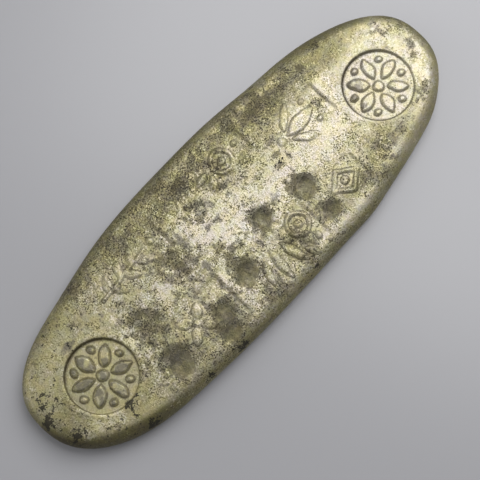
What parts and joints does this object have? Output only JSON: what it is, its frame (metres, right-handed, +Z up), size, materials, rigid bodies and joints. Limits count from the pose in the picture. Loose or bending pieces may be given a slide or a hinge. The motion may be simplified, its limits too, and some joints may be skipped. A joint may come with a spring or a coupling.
{
  "type": "metal ingot",
  "caption": "Flat oval hand-poured metal ingot with rolled edges, a struck round mark near each end, shallow struck fields and hammer dents on its top face.",
  "frame": {"origin": "centre of the flat base, on the surface that the ingot lies on", "axes": "+X along the length towards the head end, +Y across towards the back flank, +Z up out of the struck top face"},
  "size_m": [0.0966, 0.033, 0.006],
  "materials": {
    "ingot_metal": "worn satin with dark tarnish"
  },
  "bodies": {
    "root": {"ingot": "ingot_metal"}
  },
  "joints": []
}
